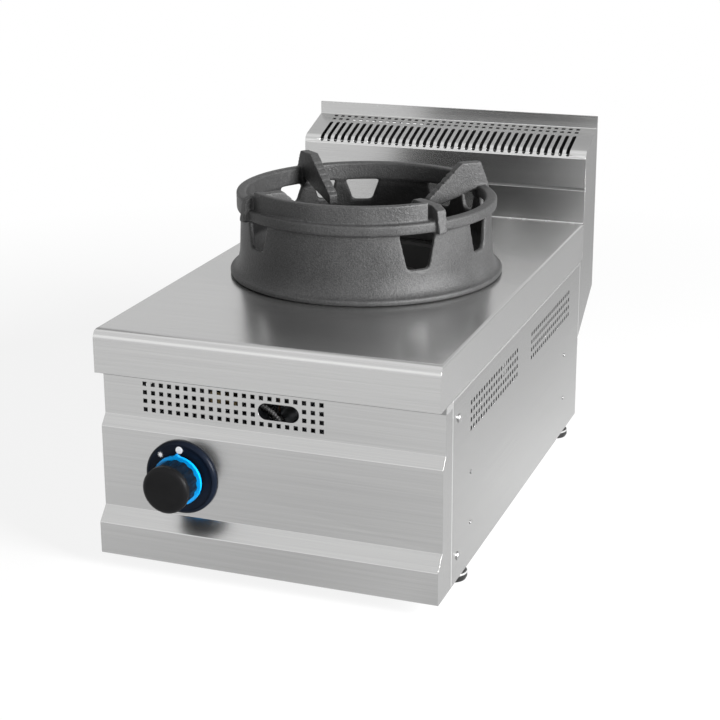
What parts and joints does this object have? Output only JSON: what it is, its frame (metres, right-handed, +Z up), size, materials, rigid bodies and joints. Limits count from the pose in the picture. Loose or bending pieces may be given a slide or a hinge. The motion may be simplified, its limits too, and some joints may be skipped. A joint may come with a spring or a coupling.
{
  "type": "wok range",
  "caption": "Countertop gas wok range: folded steel cabinet with a rear flue, a cast wok ring with sloping fingers over a gas burner, and a push-and-turn knob.",
  "frame": {"origin": "on the table under the middle of the outline", "axes": "+X to the right seen from the knob's side, +Y to the back, +Z up"},
  "size_m": [0.4054, 0.736, 0.417],
  "materials": {
    "stainless": "fine brushed grain",
    "zinc_steel": "plain zinc-coated sheet",
    "ring_iron": "dark enamelled casting, worn at the edges",
    "burner_iron": "raw casting",
    "brass": "turned",
    "cast_alloy": "die-cast, bare",
    "copper": "bare copper",
    "hose_steel": "corrugated tube",
    "black_plastic": "moulded, satin",
    "blue_plastic": "moulded, flat ring",
    "foot_dark": "moulded pad with a steel rim",
    "screw_steel": "bright zinc"
  },
  "bodies": {
    "cabinet": {"hob_top": "stainless", "front_fascia": "stainless", "side_panel_left": "stainless", "side_panel_right": "stainless", "back_panel": "zinc_steel", "base_pan": "zinc_steel", "corner_posts": "zinc_steel", "flue_duct": "stainless", "flue_front_sheet": "stainless", "flue_cover": "stainless", "spill_bowl": "stainless", "burner_bridge": "zinc_steel", "burner_body": "burner_iron", "burner_crown": "burner_iron", "air_shutter": "brass", "injector": "brass", "injector_elbow": "brass", "hose_nuts": "brass", "ribbed_hose": "hose_steel", "gas_pipe": "zinc_steel", "pipe_plug": "brass", "inlet_locknut": "brass", "pipe_cradles": "zinc_steel", "valve_body": "cast_alloy", "valve_saddle_clamp": "zinc_steel", "knob_bezel": "black_plastic", "pilot_burner": "brass", "pilot_tube": "copper", "thermocouple": "copper", "thermocouple_lead": "copper", "foot_nuts": "zinc_steel", "side_screws": "screw_steel", "side_rivets": "screw_steel", "flue_screws": "screw_steel", "back_panel_screws": "screw_steel"},
    "wok_ring_body": {"wok_ring": "ring_iron"},
    "burner_cap_body": {"burner_cap": "burner_iron"},
    "tap_plug": {"valve_plug": "brass"},
    "knob_body": {"valve_spindle": "brass", "knob": "black_plastic", "knob_blue_ring": "blue_plastic"},
    "front_left_foot": {"foot_front_left": "foot_dark"},
    "front_right_foot": {"foot_front_right": "foot_dark"},
    "back_left_foot": {"foot_back_left": "foot_dark"},
    "back_right_foot": {"foot_back_right": "foot_dark"}
  },
  "joints": [
    {"name": "knob_turn", "type": "hinge", "parent": "cabinet", "child": "tap_plug", "pos_m": [-0.102, -0.3, 0.119], "axis": [0, -1, 0], "range_deg": [0, 210]},
    {"name": "knob_push", "type": "slide", "parent": "tap_plug", "child": "knob_body", "axis": [0, 1, 0], "range_m": [0, 0.004], "stiffness_N_per_m": 600, "springref_m": -0.005},
    {"name": "wok_ring_lift", "type": "slide", "parent": "cabinet", "child": "wok_ring_body", "axis": [0, 0, 1], "range_m": [0, 0.12]},
    {"name": "burner_cap_lift", "type": "slide", "parent": "cabinet", "child": "burner_cap_body", "axis": [0, 0, 1], "range_m": [0, 0.03]},
    {"name": "front_left_foot_screw", "type": "slide", "parent": "cabinet", "child": "front_left_foot", "axis": [0, 0, -1], "range_m": [0, 0.015]},
    {"name": "front_right_foot_screw", "type": "slide", "parent": "cabinet", "child": "front_right_foot", "axis": [0, 0, -1], "range_m": [0, 0.015]},
    {"name": "back_left_foot_screw", "type": "slide", "parent": "cabinet", "child": "back_left_foot", "axis": [0, 0, -1], "range_m": [0, 0.015]},
    {"name": "back_right_foot_screw", "type": "slide", "parent": "cabinet", "child": "back_right_foot", "axis": [0, 0, -1], "range_m": [0, 0.015]}
  ]
}
